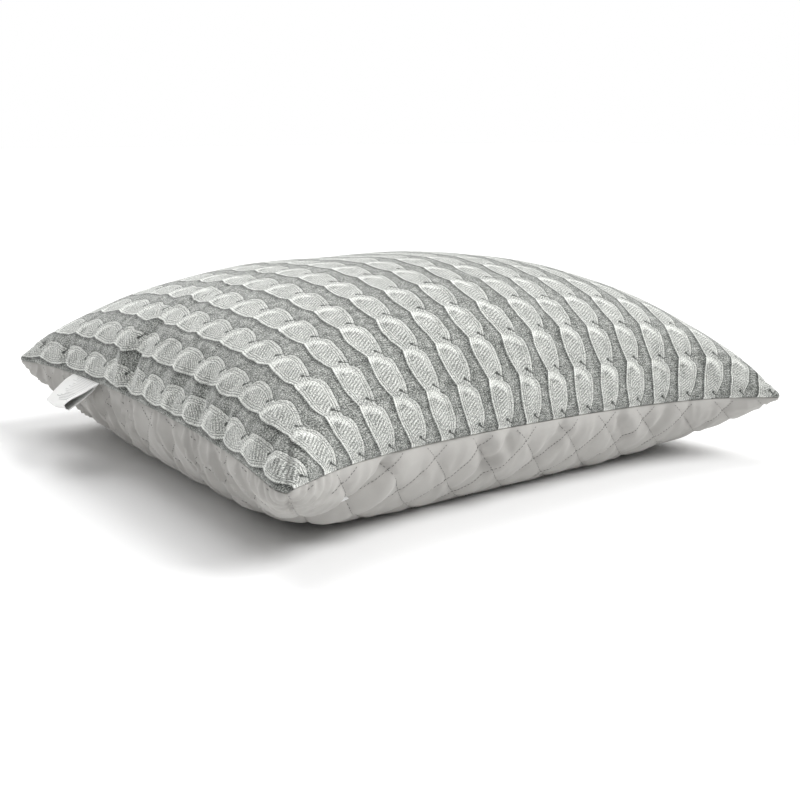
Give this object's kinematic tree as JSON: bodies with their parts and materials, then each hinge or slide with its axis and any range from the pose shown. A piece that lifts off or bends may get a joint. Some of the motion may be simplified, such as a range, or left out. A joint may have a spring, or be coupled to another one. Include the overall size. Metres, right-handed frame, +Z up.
{
  "type": "throw pillow",
  "caption": "Square plump throw pillow with a printed face, a diamond-quilted face, a zip in the far seam and a folded care label.",
  "frame": {"origin": "middle of the flat patch that the pillow rests on, on the supporting surface", "axes": "+Z up through the printed face, +X along the front edge to the right, +Y to the far edge with the zip; the care label is on the -X edge"},
  "size_m": [0.4434, 0.43, 0.1467],
  "materials": {
    "printed_fabric": "smooth printed microfibre with a pale cable-knit picture",
    "plain_fabric": "plain warm grey brushed microfibre",
    "wadding": "loose white polyester wadding",
    "lining": "thin non-woven backing",
    "dark_thread": "fine dark polyester thread",
    "grey_thread": "grey polyester thread",
    "case_fabric": "thin white non-woven case",
    "fill": "white polyester fibre",
    "zip_tape": "grey woven zip tape",
    "zip_coil": "grey nylon coil",
    "zip_metal": "grey enamelled zinc",
    "label_satin": "white printed satin tape"
  },
  "bodies": {
    "pillow": {"top_panel": "printed_fabric", "back_face": "plain_fabric", "back_wadding": "wadding", "back_lining": "lining", "quilting_thread": "dark_thread", "seam_thread": "grey_thread", "overlock_thread": "grey_thread", "insert_case_upper": "case_fabric", "insert_case_lower": "case_fabric", "insert_seam_thread": "case_fabric", "fibre_fill": "fill", "zip_tape_upper": "zip_tape", "zip_tape_lower": "zip_tape", "zip_coil_upper": "zip_coil", "zip_coil_lower": "zip_coil", "zip_top_stops": "zip_metal", "zip_bottom_stop": "zip_metal", "zip_stitching": "grey_thread", "care_label_tails": "label_satin"},
    "zip_slider": {"zip_slider": "zip_metal"},
    "zip_pull": {"zip_pull": "zip_metal"},
    "care_label": {"care_label": "label_satin"}
  },
  "joints": [
    {"name": "zip_slide", "type": "slide", "parent": "pillow", "child": "zip_slider", "axis": [-1, 0, 0], "range_m": [0, 0.279]},
    {"name": "zip_pull_hinge", "type": "hinge", "parent": "zip_slider", "child": "zip_pull", "pos_m": [0.1395, 0.19885, 0.0594], "axis": [0, 0, -1], "range_deg": [0, 150]},
    {"name": "care_label_hinge", "type": "hinge", "parent": "pillow", "child": "care_label", "pos_m": [-0.20592, 0.0924, 0.05941], "axis": [-0.0237, 0.9995, -0.0229], "range_deg": [-20, 60], "stiffness_Nm_per_rad": 0.0002}
  ]
}
